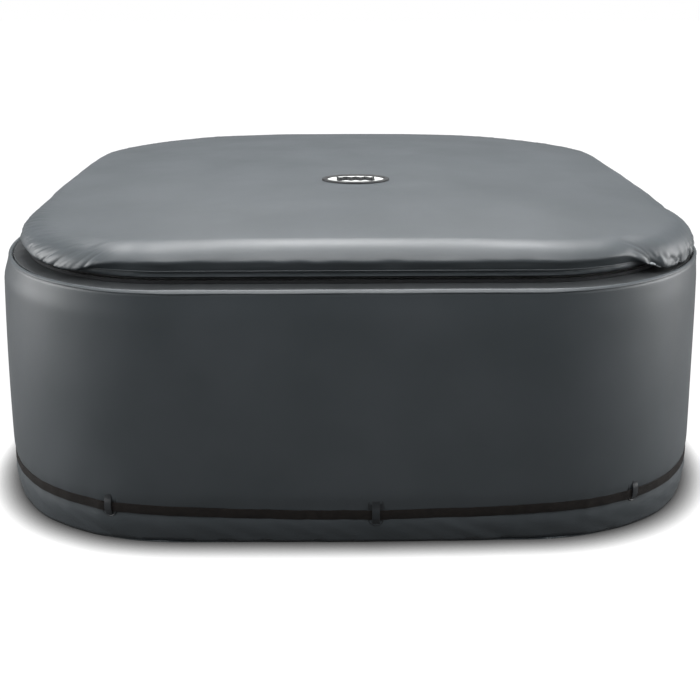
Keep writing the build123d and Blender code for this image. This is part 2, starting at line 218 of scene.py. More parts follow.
def lofted(name, rows, material, kind="ring"):
    """Surface through rows of stations, of shape (rows, stations, 3), with UVs in metres.

    A ring closes both ways, a bar has capped ends, and a dome has its first and last rows capped.
    """
    rows = np.asarray(rows, float)
    closed_profile, closed_round = kind != "dome", kind != "bar"
    row_count, count = rows.shape[:2]
    along = np.linalg.norm(np.diff(rows[row_count // 2], axis=0), axis=1)
    u = np.concatenate([[0], np.cumsum(along)])
    across = np.linalg.norm(np.diff(rows, axis=0), axis=2).mean(axis=1)
    v = np.concatenate([[0], np.cumsum(across)])
    i = np.arange(row_count if closed_profile else row_count - 1)
    j = np.arange(count if closed_round else count - 1)
    ii, jj = (a.ravel() for a in np.meshgrid(i, j, indexing="ij"))
    up, right = (ii + 1) % row_count, (jj + 1) % count
    faces = np.stack([ii * count + jj, ii * count + right, up * count + right, up * count + jj], 1)
    u_next = np.where(jj + 1 < count, u[right], u[-1] + along[0])
    v_next = np.where(ii + 1 < row_count, v[up], v[-1] + across[0])
    uvs = np.stack([u[jj], v[ii], u_next, v[ii], u_next, v_next, u[jj], v_next], 1).reshape(-1, 2)
    faces, uvs, points = list(faces), list(uvs), list(rows.reshape(-1, 3))
    if kind == "dome":
        for row, flip in ((0, True), (row_count - 1, False)):
            centre = len(points)
            points.append(rows[row].mean(axis=0))
            for k in range(count):
                a, b = row * count + k, row * count + (k + 1) % count
                faces.append((b, a, centre) if flip else (a, b, centre))
                uvs += [(0, 0), (0.001, 0), (0, 0.001)]
    elif kind == "bar":
        for k in (0, count - 1):
            loop = [row * count + k for row in range(row_count)]
            faces.append(loop[::-1] if k else loop)
            uvs += [(0, 0)] * row_count
    return mesh_object(name, points, faces, material, uvs)


def swept(name, path, along_a, along_b, section, material, closed=False):
    """Closed section, a list of (a, b), swept along a path; a and b run along the directions."""
    rows = [path + a * along_a + b * along_b for a, b in section]
    return lofted(name, rows, material, "ring" if closed else "bar")


def rounded_section(width, height, radius, steps=4):
    """Rounded rectangle as (a, b) points, width along a."""
    points = []
    for sign_a, sign_b, start in ((1, -1, -90), (1, 1, 0), (-1, 1, 90), (-1, -1, 180)):
        for k in range(steps + 1):
            angle = math.radians(start + 90 * k / steps)
            points.append((sign_a * (width / 2 - radius) + radius * math.cos(angle),
                           sign_b * (height / 2 - radius) + radius * math.sin(angle)))
    return points


def joined(name, pieces):
    """One object from several."""
    bpy.ops.object.select_all(action="DESELECT")
    for piece in pieces:
        piece.select_set(True)
    bpy.context.view_layer.objects.active = pieces[0]
    bpy.ops.object.join()
    pieces[0].name = name
    return pieces[0]


def place(piece, body, slot, *replaced):
    """Let a piece ride on a body, in place of CAD nodes. The slot is not used."""
    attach(piece, body)
    if replaced:
        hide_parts(*replaced)
    return piece


def normals_of(rows):
    """Outward unit normals of a grid of points, closed along its second axis."""
    up = np.gradient(rows, axis=0)
    right = np.roll(rows, -1, axis=1) - np.roll(rows, 1, axis=1)
    normal = np.cross(right, up)
    return normal / np.maximum(np.linalg.norm(normal, axis=2, keepdims=True), 1e-12)


# ---- materials ----
def calculated(tree, operation, first, second):
    """Result of a math node on an output and a number or a second output."""
    node = tree.nodes.new("ShaderNodeMath")
    node.operation = operation
    tree.links.new(first, node.inputs[0])
    if isinstance(second, float):
        node.inputs[1].default_value = second
    else:
        tree.links.new(second, node.inputs[1])
    return node.outputs["Value"]


def mapped(tree, value, from_low, from_high, low, high):
    """An output's range from_low to from_high, mapped to low to high."""
    node = tree.nodes.new("ShaderNodeMapRange")
    for key, number in (("From Min", from_low), ("From Max", from_high), ("To Min", low), ("To Max", high)):
        node.inputs[key].default_value = number
    tree.links.new(value, node.inputs["Value"])
    return node.outputs["Result"]


class Material:
    """A Principled material with helpers for its procedural nodes."""

    def __init__(self, name, colour, roughness, **inputs):
        self.material = bpy.data.materials.new(name)
        self.material.use_nodes = True
        self.tree = self.material.node_tree
        self.nodes, self.links = self.tree.nodes, self.tree.links
        self.shader = self.nodes["Principled BSDF"]
        self.shader.inputs["Base Color"].default_value = (*colour, 1)
        self.shader.inputs["Roughness"].default_value = roughness
        for key, value in inputs.items():
            self.shader.inputs[key.replace("_", " ")].default_value = value
        self.coordinates = self.nodes.new("ShaderNodeTexCoord")
        self.last_bump = None

    def node(self, kind, **inputs):
        node = self.nodes.new("ShaderNode" + kind)
        for key, value in inputs.items():
            node.inputs[key].default_value = value
        return node

    def noise(self, scale, detail):
        node = self.node("TexNoise", Scale=scale, Detail=detail)
        self.links.new(self.coordinates.outputs["Object"], node.inputs["Vector"])
        return node.outputs["Fac"]

    def wave(self, scale, direction, distortion=0.0):
        node = self.node("TexWave", Scale=scale, Distortion=distortion)
        node.bands_direction = direction
        self.links.new(self.coordinates.outputs["UV"], node.inputs["Vector"])
        return node.outputs["Fac"]

    def product(self, first, second):
        return calculated(self.tree, "MULTIPLY", first, second)

    def tint(self, value, dark, light):
        """Base colour from dark to light as value goes from 0.3 to 0.7."""
        node = self.nodes.new("ShaderNodeMix")
        node.data_type = "RGBA"
        node.inputs["A"].default_value = (*dark, 1)
        node.inputs["B"].default_value = (*light, 1)
        self.links.new(mapped(self.tree, value, 0.3, 0.7, 0, 1), node.inputs["Factor"])
        self.links.new(node.outputs["Result"], self.shader.inputs["Base Color"])

    def rough(self, value, low, high):
        """Roughness from low to high as value goes from 0.3 to 0.7."""
        self.links.new(mapped(self.tree, value, 0.3, 0.7, low, high), self.shader.inputs["Roughness"])

    def bump(self, value, distance, strength):
        """Bump added over those already there."""
        node = self.node("Bump", Distance=distance, Strength=strength)
        self.links.new(value, node.inputs["Height"])
        if self.last_bump:
            self.links.new(self.last_bump, node.inputs["Normal"])
        self.last_bump = node.outputs["Normal"]
        self.links.new(self.last_bump, self.shader.inputs["Normal"])


def coated_fabric(name, roughness, shade=1.0):
    """Dark blue-grey coated cloth: fine weave under a satin film, with soft handling marks. Shade scales its
    colour: a darker copy is painted shade, a lighter copy painted light.
    """
    dark, light = (0.028, 0.034, 0.038), (0.035, 0.041, 0.046)
    m = Material(name, light, roughness, Specular_IOR_Level=0.42)
    m.tint(m.noise(5.0, 4.0), [c * shade for c in dark], [c * shade for c in light])
    m.rough(m.noise(3.2, 3.0), roughness - 0.04, roughness + 0.05)
    m.bump(m.product(m.wave(420.0, "X"), m.wave(420.0, "Y")), 0.00008, 0.35)
    m.bump(m.noise(900.0, 2.0), 0.00006, 0.4)
    m.bump(m.noise(14.0, 3.0), 0.0012, 0.25)
    m.bump(m.noise(3.5, 2.0), 0.006, 0.2)
    return m.material


def woven(name, dark, light, rib, sheen):
    """Narrow woven tape: ribs across its length and a finer thread along it."""
    m = Material(name, light, 0.85, Sheen_Weight=sheen, Sheen_Roughness=0.6, Specular_IOR_Level=0.14)
    m.tint(m.noise(60.0, 3.0), dark, light)
    m.bump(m.product(m.wave(rib, "X", 0.6), m.wave(rib * 1.6, "Y", 0.4)), 0.0004, 0.7)
    m.bump(m.noise(1400.0, 2.0), 0.0001, 0.5)
    return m.material


def moulded(name, dark, light, roughness):
    """Moulded plastic, finely grained."""
    m = Material(name, light, roughness, Specular_IOR_Level=0.3)
    m.tint(m.noise(30.0, 3.0), dark, light)
    m.rough(m.noise(45.0, 3.0), roughness - 0.06, roughness + 0.08)
    m.bump(m.noise(700.0, 2.0), 0.00008, 0.5)
    return m.material


def enamelled_metal():
    m = Material("zip_metal", (0.035, 0.035, 0.036), 0.35, Metallic=0.6)
    m.tint(m.noise(80.0, 3.0), (0.02, 0.02, 0.022), (0.05, 0.05, 0.052))
    m.bump(m.noise(900.0, 2.0), 0.00005, 0.4)
    return m.material


def foil():
    """Silver foil-faced film, finely crinkled."""
    m = Material("foil_film", (0.62, 0.63, 0.64), 0.34, Metallic=0.75)
    m.tint(m.noise(9.0, 4.0), (0.5, 0.51, 0.52), (0.66, 0.67, 0.68))
    m.rough(m.noise(7.0, 4.0), 0.28, 0.46)
    m.bump(m.noise(38.0, 5.0), 0.003, 0.35)
    m.bump(m.noise(160.0, 3.0), 0.0006, 0.4)
    return m.material


def foam():
    m = Material("foam_white", (0.72, 0.72, 0.7), 0.9)
    m.tint(m.noise(120.0, 3.0), (0.66, 0.66, 0.64), (0.76, 0.76, 0.74))
    m.bump(m.noise(420.0, 3.0), 0.0004, 0.6)
    return m.material


def vinyl():
    m = Material("bladder_vinyl", (0.3, 0.33, 0.35), 0.3, Coat_Weight=0.3)
    m.tint(m.noise(6.0, 3.0), (0.26, 0.29, 0.31), (0.33, 0.36, 0.38))
    m.bump(m.noise(24.0, 3.0), 0.002, 0.3)
    return m.material


fabric = coated_fabric("coated_fabric", 0.45)
# The gusset's cloth: a lighter copy of the coated cloth, painted light; the hem band and the hinge strip
# wear it too.
fabric_gusset_painted_light = coated_fabric("coated_fabric_gusset_painted_light", 0.5, shade=1.1)
# The ledge's cloth: a darker copy of the coated cloth, painted shade for the shade under the lid's roll.
fabric_ledge_painted_shade = coated_fabric("coated_fabric_ledge_painted_shade", 0.8, shade=0.38)
webbing = woven("belt_webbing", (0.0045, 0.0034, 0.003), (0.0085, 0.0066, 0.0056), 260.0, 0.02)
tape = woven("zip_tape", (0.008, 0.009, 0.01), (0.013, 0.014, 0.016), 380.0, 0.05)
keeper_plastic = moulded("keeper_plastic", (0.012, 0.014, 0.016), (0.018, 0.02, 0.022), 0.4)
coil_plastic = moulded("coil_nylon", (0.008, 0.008, 0.009), (0.014, 0.014, 0.015), 0.38)
zip_metal = enamelled_metal()
badge_black = moulded("badge_black", (0.008, 0.009, 0.01), (0.012, 0.013, 0.014), 0.52)
badge_pale = moulded("badge_pale", (0.36, 0.37, 0.36), (0.46, 0.47, 0.46), 0.45)
valve_plastic = moulded("valve_plastic", (0.42, 0.43, 0.43), (0.5, 0.51, 0.51), 0.38)
foil_film = foil()
foam_white = foam()
bladder_vinyl = vinyl()

# Hard pieces that are shown as they are in CAD
for names, material in (
    (("zip_tape_lower", "zip_tape_upper"), tape),
    (("zip_end_stops", "zip_slider_left", "zip_slider_right", "zip_pull_left", "zip_pull_right"), zip_metal),
    (("buckle_female", "buckle_male"), keeper_plastic),
    (("badge_rim", "badge_waves"), badge_black),
    (("badge_field",), badge_pale),
    (("bladder_valve_body", "bladder_valve_cap"), valve_plastic),
):
    for node in names:
        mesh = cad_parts[node].data
        mesh.materials.clear()
        mesh.materials.append(material)

# ---- wall of the sleeve ----
wall = Stations(rim_half, 110, 110)
TURN_Z = 0.01             # height at which the skin starts to turn in under the foot
FOOT_TUCK, TUCK_HEIGHT = 0.011, 0.068
BELLY = 0.0035            # how far the air in the spa's wall pushes the middle of the wall out
LOOSE = 0.0015            # how far the skin stands off the foam
BELT_PINCH = 0.0045
FOIL_THICKNESS = 0.0012
QUILT_PITCH, QUILT_DEPTH = 0.162, 0.003
# How far the foot stands out of its plain line, from the front's middle round to the rear's middle
FOOT_BOW = ((0, 0.001), (0.3, -0.003), (0.5, -0.01), (0.66, -0.001), (0.84, 0.012), (1.1, 0.007),
            (1.7, 0.005), (2.3, 0.006), (2.51, 0.01), (2.75, 0.002), (3.35, 0))
foot_bow = along_knots(wall, [(sign * d, out) for sign in (-1, 1) for d, out in FOOT_BOW])
# The rim draws in at the front left corner, where the cloth is tightest
rim_draw = along_knots(wall, ((5.1, 0), (5.4, 0.008), (5.6, 0.012), (5.82, 0.006), (6.1, 0)))


def wall_line(z):
    """Half width of the plain wall's outer face at height z."""
    return rim_half + foot_flare * (1 - z / rim_top)


def wall_swell(z):
    """How far the wall's skin stands out of its plain face at height z, at every station."""
    low = 1 - z / rim_top
    shoulder = smooth_step(wall_top - z, 0.0, 0.06)
    belly = BELLY * math.sin(math.pi * min(1.0, z / rim_top)) ** 0.8
    pinch = BELT_PINCH * bump_at(z, belt_z, 0.028)
    drift = soft_waves(wall.phase + 1.3 * z, 11, range(3, 12), 0.001)
    drape = soft_waves(wall.phase - 0.5 * z, 12, range(20, 46, 3), 0.0005) * low
    hem = soft_waves(wall.phase + 2.0 * z, 13, range(40, 90, 7), 0.0008) * (1 - smooth_step(z, 0.02, 0.1))
    tucks = soft_waves(wall.phase, 14, range(60, 150, 11), 0.0006) * bump_at(z, belt_z, 0.045)
    drawn = rim_draw * smooth_step(z, 0.59, rim_top)
    tucked = FOOT_TUCK * max(0.0, 1 - z / TUCK_HEIGHT) ** 1.6
    return shoulder * (belly + drift + drape + LOOSE) + foot_bow * low + hem + tucks - pinch - drawn - tucked


def liner_line(z):
    """Half width of the foil liner's plain outer face at height z."""
    return liner_high.x + foot_flare * liner_low.z / rim_top - foot_flare * z / rim_top


def liner_dip(z):
    """How far the liner follows the skin inwards at height z, 0 or less."""
    return 0.6 * np.minimum(wall_swell(z), 0)


def wall_skin():
    """One sheet, from the foot up behind the rim's roll and back down inside."""
    heights = np.concatenate([np.linspace(TURN_Z, 0.14, 34), np.linspace(0.15, wall_top - 0.004, 46)])
    outer = [wall.ring(wall_line(z) + wall_swell(z), z) for z in heights]
    top = [wall.ring(wall_line(wall_top) - rim_draw - drop, rim_top - 0.005)
           for drop in (0.0012, 0.0012 + SKIN)]
    inner = [wall.ring(wall_line(z) - SKIN + 0.9 * wall_swell(z), z) for z in heights[::-7]]
    foot = wall_line(0) + wall_swell(TURN_Z)
    under = [wall.ring(foot - inset, z) for inset, z in ((SKIN, 0.002), (0.004, 0.0016), (0.0012, 0.004))]
    return lofted("wall_skin", outer + top + inner + under, fabric)


skin = place(wall_skin(), "sleeve", "coated_fabric", "wall_outer_shell")


def wall_lining():
    """Foil liner of the sleeve: it crinkles over the foam between rows of stitches."""
    heights = np.linspace(liner_low.z, liner_high.z, 90)

    def face(z, depth):
        quilt = abs(math.sin(math.pi * (z - liner_low.z) / QUILT_PITCH)) ** 0.5
        ripple = soft_waves(wall.phase + 3 * z, 15, range(30, 120, 9), 0.0009)
        return wall.ring(liner_line(z) + liner_dip(z) - depth - quilt * (QUILT_DEPTH + ripple), z)

    rows = [face(z, 0.0006) for z in heights] + [face(z, 0.0006 + FOIL_THICKNESS) for z in heights[::-1]]
    return lofted("wall_foil_lining", rows, foil_film)


lining = place(wall_lining(), "sleeve", "foil_liner", "wall_foil_liner")


def wall_padding(side, name):
    """One side's foam, from the middle of one corner to the middle of the next."""
    quarter = wall.length / 4
    start = np.searchsorted(wall.distance, side * quarter - quarter / 2)
    pick = np.arange(start, start + wall.count // 4 + 1) % wall.count
    heights = np.linspace(liner_low.z + 0.002, liner_high.z - 0.002, 40)
    outer = [wall.ring(wall_line(z) + wall_swell(z) - SKIN - 0.0006, z)[pick] for z in heights]
    inner = [wall.ring(liner_line(z) + liner_dip(z) + 0.0004, z)[pick] for z in heights[::-1]]
    piece = lofted(f"wall_padding_{name}", outer + inner, foam_white, "bar")
    place(piece, "sleeve", "foam", f"wall_foam_{name}")


for side, name in enumerate(("front", "right", "rear", "left")):
    wall_padding(side, name)


def hem_band():
    """Strip that closes the wall's foot and turns up inside the liner."""
    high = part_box("hem_facing")[1]
    inner = liner_high.x - 0.0045
    foot = wall_swell(TURN_Z)
    waves = soft_waves(wall.phase, 16, range(30, 100, 9), 0.0006)
    turn = [(high.x + foot - 0.0035, 0.0016), (high.x + 0.4 * foot - 0.008, 0.0004), (inner + 0.004, 0.0003),
            (inner + 0.001, 0.0012), (inner, 0.004)]
    leg = [(inner - foot_flare * z / rim_top + waves, z) for z in (0.01, 0.018, 0.026, high.z)]
    outside = turn + leg
    inside = [(half - SKIN, z) if z > 0.003 else (half - 0.001, z + 0.0012) for half, z in outside[::-1]]
    rows = [wall.ring(half, z) for half, z in outside + inside]
    return lofted("hem_band", rows, fabric_gusset_painted_light)


place(hem_band(), "sleeve", "coated_fabric", "hem_facing")


# ---- rim and ledge ----
# Section of the rim's roll as (out of its plain line, below its top): a broad face that leans out
RIM_SECTION = ((0.0002, -0.0098), (0.001, -0.0088), (0.0008, -0.0074), (0.0, -0.0062),
               (-0.0022, -0.0042), (-0.0048, -0.0022), (-0.0068, -0.001), (-0.009, -0.0006),
               (-0.0115, -0.0012), (-0.0135, -0.0026), (-0.0145, -0.0045), (-0.014, -0.008),
               (-0.008, -0.01), (-0.003, -0.0104))
rim_sway = soft_waves(wall.phase, 21, range(2, 24), 0.0007)
rim_swell = 1 - 0.42 * wall.corner + soft_waves(wall.phase, 22, range(8, 40, 3), 0.06)
rim_line = rim_half - rim_draw
rim_rows = [wall.ring(rim_line + out * rim_swell + 0.4 * rim_sway, rim_top + down * rim_swell + rim_sway)
            for out, down in RIM_SECTION]
piping = lofted("rim_piping_roll", rim_rows, fabric)
place(piping, "sleeve", "coated_fabric", "rim_piping")


def there_and_back(steps):
    """(share, depth) from 1 to 0 over a sheet's top and from 0 to 1 back under it."""
    shares = np.linspace(0, 1, steps + 1)
    return [(share, 0) for share in shares[::-1]] + [(share, SKIN) for share in shares]


def rim_ledge():
    """Flat strip from the rim's roll in to the zip, puckered and slightly sunk; its darker cloth is painted
    shade from the lid above it.
    """
    outer, inner = rim_line - 0.0125, tape_half - 0.0025
    puckers = soft_waves(wall.phase, 31, range(40, 150, 9), 0.0008)
    puckers += soft_waves(wall.phase, 32, range(5, 20), 0.0008)
    rows = []
    for t, depth in there_and_back(10):
        sag = 4 * t * (1 - t) * (puckers - 0.0015)
        rows.append(wall.ring(outer + (inner - outer) * t, ledge_top + sag - depth))
    return lofted("rim_ledge_panel", rows, fabric_ledge_painted_shade)


ledge = place(rim_ledge(), "sleeve", "coated_fabric", "rim_ledge")

# ---- belt and keepers ----
KEEPER_COUNT = 10
KEEPER_OFFSET = 0.054
KEEPER_FRONT_PITCH = 0.666
KEEPER_SHIFTS = (0.004, -0.011, 0.013)        # how far the front keepers sit above the others
KEEPER_WIDTH = 0.04
BRIDGE_WIDTH = 0.019
STRAP_SECTION = rounded_section(belt_width, STRAP_THICKNESS, 0.0007, 3)
# The belt hangs lowest at the front's middle and rides up at the corners: (distance, rise)
BELT_RISE = ((0, -0.011), (0.25, -0.007), (0.52, 0.003), (0.85, 0.007), (1.3, 0.002), (2.0, 0),
             (4.7, 0), (5.4, 0.002), (5.85, 0.007), (6.18, 0.003), (6.45, -0.007))


def keeper_distances():
    """Distances of the keepers round the wall: the three front ones, then the others."""
    rest = (wall.length - 2 * KEEPER_FRONT_PITCH) / (KEEPER_COUNT - 2)
    behind = [KEEPER_FRONT_PITCH + rest * k for k in range(1, KEEPER_COUNT - 2)]
    return [KEEPER_OFFSET + d for d in [-KEEPER_FRONT_PITCH, 0, KEEPER_FRONT_PITCH] + behind]


def skin_at(distance, z):
    """Half width of the wall's skin at distances round it, at height z."""
    return wall_line(z) + np.interp(distance, wall.distance, wall_swell(z), period=wall.length)


def near_keeper(distance, width):
    """1 at a keeper, falling to 0 beyond its patch."""
    away = [(distance - k + wall.length / 2) % wall.length - wall.length / 2 for k in keeper_distances()]
    return 1 - smooth_step(np.abs(away).min(axis=0), KEEPER_WIDTH / 2, KEEPER_WIDTH / 2 + width)


def belt():
    """Strap round the foot: it lies on the skin and rides over the keepers' patches."""
    distance = np.linspace(0, wall.length, 1500, endpoint=False)
    phase = math.tau * distance / wall.length
    core, outward, _ = round_the(wall.reach, distance)
    patch_lift = 0.0016 * near_keeper(distance, 0.018)
    ease = np.maximum(0, soft_waves(phase, 42, range(9, 60, 4), 0.0006))
    half = skin_at(distance, belt_z) + 0.0009 + patch_lift + ease + STRAP_THICKNESS / 2
    rise = np.interp(distance, wall.distance, along_knots(wall, BELT_RISE, 0.08), period=wall.length)
    z = belt_z + rise + soft_waves(phase, 41, range(12, 40, 3), 0.0007)
    path = points_at(core, outward, half, z)
    lean = foot_flare / rim_top
    up = np.column_stack([-outward * lean, np.ones(len(outward))])
    out = np.column_stack([outward, np.full(len(outward), lean)])
    return swept("belt_strap", path, up, out, STRAP_SECTION, webbing, closed=True)


place(belt(), "sleeve", "webbing", "belt_webbing")


def keeper_seat(distance, z):
    """Half width of the keeper's seat at heights z; it bridges the pinch behind the belt."""
    face = float(skin_at(np.array([distance]), keeper_z)[0])
    return face - foot_flare / rim_top * (z - keeper_z)


def keeper_middle(number):
    """Height of the middle of a keeper."""
    return keeper_z + (KEEPER_SHIFTS[number] if number < len(KEEPER_SHIFTS) else 0)


def keeper_patch(number, distance):
    """Round-ended moulded patch with a raised lip, wrapped on the wall."""
    half_w, straight = KEEPER_WIDTH / 2, keeper_height / 2 - KEEPER_WIDTH / 2
    angles = np.linspace(0, math.tau, 72, endpoint=False)
    shaft = np.where(np.sin(angles) >= 0, straight, -straight)
    lip = [(0, -0.0012), (0, 0.001), (0.0004, 0.0018), (0.001, 0.0023), (0.0019, 0.0023), (0.0026, 0.0017),
           (0.0034, 0.0013), (0.009, 0.0012), (0.015, 0.0012)]
    rows = []
    for inset, out in lip:
        across, height = (half_w - inset) * np.cos(angles), (half_w - inset) * np.sin(angles) + shaft
        core, outward, _ = round_the(wall.reach, distance + across)
        z = keeper_middle(number) + height
        rows.append(points_at(core, outward, keeper_seat(distance, z) + out, z))
    return lofted(f"keeper_patch_{number}", rows, keeper_plastic, "dome")


def keeper_bridge(number, distance):
    """Strap that arches over the belt from end to end of the patch."""
    knots = [(0.031, 0.001), (0.029, 0.0024), (0.018, 0.0026), (0.011, 0.0032), (0.0055, 0.0052),
             (0.001, 0.0064), (belt_z - keeper_z, 0.007), (-0.017, 0.0064), (-0.0215, 0.0052),
             (-0.026, 0.0034), (-0.029, 0.0026), (-0.032, 0.001)]        # (height, stand-off)
    share, fine = np.arange(len(knots)), np.linspace(0, len(knots) - 1, 60)
    height, out = (np.interp(fine, share, column) for column in np.array(knots).T)
    out = np.convolve(np.pad(out, 2, mode="edge"), np.ones(5) / 5, mode="valid")
    core, outward, along = round_the(wall.reach, np.full(len(height), distance))
    z = keeper_middle(number) + height
    path = points_at(core, outward, keeper_seat(distance, z) + out, z)
    slope = np.gradient(out) / np.gradient(height)
    normal = np.column_stack([outward, -slope])
    normal /= np.linalg.norm(normal, axis=1)[:, None]
    side = np.column_stack([along, np.zeros(len(along))])
    section = rounded_section(BRIDGE_WIDTH, 0.0022, 0.001)
    return swept(f"keeper_bridge_{number}", path, side, normal, section, keeper_plastic)


patches = joined("belt_keeper_patch_set", [keeper_patch(n, d) for n, d in enumerate(keeper_distances())])
bridges = joined("belt_keeper_bridge_set", [keeper_bridge(n, d) for n, d in enumerate(keeper_distances())])
place(patches, "sleeve", "moulded_plastic", "belt_keeper_patches")
place(bridges, "sleeve", "moulded_plastic", "belt_keeper_bridges")


def belt_loose_end():
    """The belt's loose end hangs a little behind the buckle."""
    low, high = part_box("belt_free_end")
    x = np.linspace(low.x, high.x, 60)
    share = (x - low.x) / (high.x - low.x)
    path = np.column_stack([x, (low.y + high.y) / 2 + 0.0015 * np.sin(4.2 * share) * share,
                            (low.z + high.z) / 2 - 0.004 * share ** 2])
    across, out = np.tile([0.0, 0.0, 1.0], (60, 1)), np.tile([0.0, 1.0, 0.0], (60, 1))
    return swept("belt_loose_end", path, across, out, STRAP_SECTION, webbing)


place(belt_loose_end(), "buckle_insert", "webbing", "belt_free_end")

# ---- form of the lid ----
lid = Stations(roll_half, 130, 210)
EDGE_HALF = 0.892         # the roll's lower edge on the straight sides
EDGE_Z = 0.713
FADE_HALF = 0.6           # the crown is plain inside this half width
TURN_ROWS = 14            # rows between the seam and the roll's lower edge
CROWN_TILT = math.radians(3)
MIDDLE_SCALES = np.linspace(1, 0, 60)[1:-1]
UNDERSIDE_HALVES = (0.46, 0.6, 0.84)

# Round the lid from the front centre, at distances in metres: how far the roll's lower edge stands
# out and hangs down, its steepness there in degrees, the roll's width and the crown's droop.
# The front right corner lies puffed out over the rim; the other corners slump over the gusset.
EDGE_OUT = ((0.45, 0), (0.62, 0.002), (0.7, 0.004), (0.75, 0.032), (0.8, 0.042), (0.95, 0.045),
            (1.05, 0.036), (1.16, 0.012), (1.45, 0.005), (1.9, 0.003), (2.1, 0.003), (2.4, 0.018),
            (2.7, 0.003), (3.2, 0), (3.6, 0.002), (3.95, 0.018), (4.3, 0.002), (4.8, -0.001),
            (5.15, 0.001), (5.34, 0.006), (5.45, 0.01), (5.55, 0.017), (5.64, 0.02), (5.7, 0.018),
            (5.76, 0.008), (5.82, 0.002), (5.95, 0))
EDGE_DROP = ((0.45, 0), (0.62, -0.001), (0.69, 0.002), (0.75, 0.042), (0.82, 0.049), (0.95, 0.046),
             (1.06, 0.034), (1.2, 0.014), (1.4, 0), (2.0, 0), (2.2, 0.015), (2.4, 0.02),
             (2.6, 0.015), (2.8, 0), (3.55, 0), (3.75, 0.014), (3.95, 0.02), (4.2, 0.014),
             (4.4, 0), (4.9, 0), (5.2, 0.006), (5.36, 0.016), (5.48, 0.019), (5.58, 0.028),
             (5.66, 0.031), (5.71, 0.028), (5.755, 0.007), (5.8, 0.003), (5.9, -0.002), (6.1, 0))
EDGE_TILT = ((0, 60), (0.5, 62), (0.71, 68), (0.76, 96), (1.0, 104), (1.12, 96), (1.25, 88), (2.0, 88),
             (2.39, 72), (2.75, 88), (3.6, 88), (3.98, 72), (4.35, 88), (5.0, 88), (5.25, 92), (5.4, 94),
             (5.66, 90), (5.78, 70), (5.9, 63), (6.1, 60))
ROLL_WIDTH = ((0, 0.088), (0.5, 0.09), (0.71, 0.09), (0.8, 0.08), (1.0, 0.074), (1.14, 0.066),
              (1.3, 0.042), (2.0, 0.038), (2.2, 0.07), (2.39, 0.09), (2.58, 0.07), (2.8, 0.038),
              (3.6, 0.038), (3.8, 0.07), (3.98, 0.09), (4.2, 0.07), (4.4, 0.038), (4.95, 0.04),
              (5.15, 0.07), (5.4, 0.095), (5.68, 0.105), (5.8, 0.105), (6.0, 0.095))
TOP_DROOP = ((0.45, 0), (0.8, 0.004), (1.15, 0), (2.03, 0), (2.39, 0.004), (2.74, 0), (3.63, 0),
             (3.98, 0.004), (4.34, 0), (4.8, 0), (5.22, 0.001), (5.58, 0.006), (5.93, 0))
# Where the front right corner's crumples and the corners' gathers show, from 0 to 1
PUFFED = ((0.68, 0), (0.74, 0.8), (0.8, 1), (1.05, 1), (1.18, 0.3), (1.35, 0))
GATHERED = ((0.68, 0), (0.76, 0.5), (0.92, 0.7), (1.1, 0.6), (1.25, 0.3), (1.45, 0.05), (1.95, 0),
            (2.15, 0.7), (2.39, 1), (2.63, 0.7), (2.85, 0), (3.55, 0), (3.75, 0.7), (3.98, 1),
            (4.22, 0.7), (4.45, 0), (4.9, 0.05), (5.1, 0.3), (5.28, 0.7), (5.42, 1), (5.7, 1),
            (5.755, 0.5), (5.8, 0.1), (5.9, 0))
edge_out = along_knots(lid, EDGE_OUT, 0.014) + soft_waves(lid.phase, 53, range(12, 70, 5), 0.0008)
edge_drop = along_knots(lid, EDGE_DROP, 0.014) + soft_waves(lid.phase, 54, range(14, 90, 6), 0.0011)
edge_tilt = np.radians(along_knots(lid, EDGE_TILT))
roll_width = along_knots(lid, ROLL_WIDTH)
top_droop = along_knots(lid, TOP_DROOP, 0.07)
# Pockets between the front right corner's puffs, and the front left corner's deep folds:
# (distance round, distance up the roll, half width, half height, depth)
POCKETS = ((0.746, 0.034, 0.014, 0.018, 0.009), (0.79, 0.03, 0.014, 0.018, 0.002),
           (0.842, 0.044, 0.01, 0.018, 0.012), (0.876, 0.028, 0.01, 0.016, -0.004),
           (0.908, 0.048, 0.008, 0.018, 0.011), (0.95, 0.04, 0.008, 0.018, 0.009),
           (0.985, 0.05, 0.007, 0.018, 0.007), (1.03, 0.04, 0.009, 0.02, 0.006),
           (0.8, 0.064, 0.01, 0.01, 0.004), (5.64, 0.034, 0.006, 0.024, 0.004),
           (5.6, 0.038, 0.005, 0.022, 0.003), (5.725, 0.02, 0.007, 0.02, 0.002))
puffed = along_knots(lid, PUFFED, 0.012)
gathered = along_knots(lid, GATHERED, 0.012)
seam_half = band_half + 0.001 + 0.45 * np.maximum(edge_out, 0)


def crown(xy):
    """Height of the plain crown over points in plan."""
    return crown_z - (xy ** 2).sum(axis=-1) / (2 * CROWN_SPHERE)


